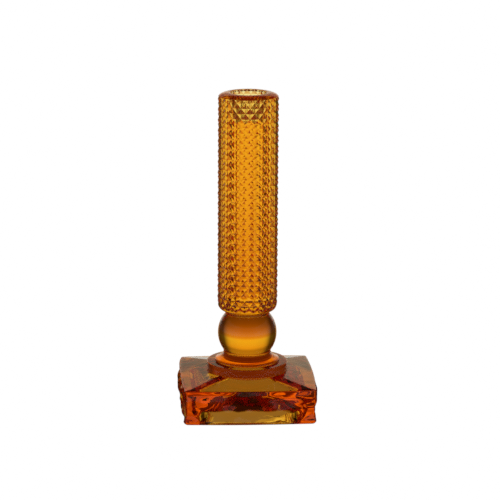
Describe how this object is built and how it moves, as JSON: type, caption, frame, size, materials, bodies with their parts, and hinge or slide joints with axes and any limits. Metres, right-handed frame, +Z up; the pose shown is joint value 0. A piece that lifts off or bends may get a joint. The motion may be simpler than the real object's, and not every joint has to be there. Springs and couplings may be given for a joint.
{
  "type": "glass candlestick",
  "caption": "Amber glass candlestick: diamond-faceted column with a tapered candle well, ball knop, stepped collar and square pyramid-topped foot.",
  "frame": {"origin": "centre of the underside of the square foot, on the surface it stands on", "axes": "+Z up along the column; X and Y square to the foot's sides, -Y is the front"},
  "size_m": [0.1042, 0.1042, 0.25],
  "materials": {
    "amber_glass": "gloss, fire-polished",
    "clear_bond": "clear cured adhesive"
  },
  "bodies": {
    "root": {"base_block": "amber_glass", "base_bond": "clear_bond", "lower_collar": "amber_glass", "collar_bond": "clear_bond", "upper_collar": "amber_glass", "knop_bond": "clear_bond", "ball_knop": "amber_glass", "wafer_bond": "clear_bond", "neck_wafer": "amber_glass", "column_bond": "clear_bond", "column": "amber_glass"}
  },
  "joints": []
}
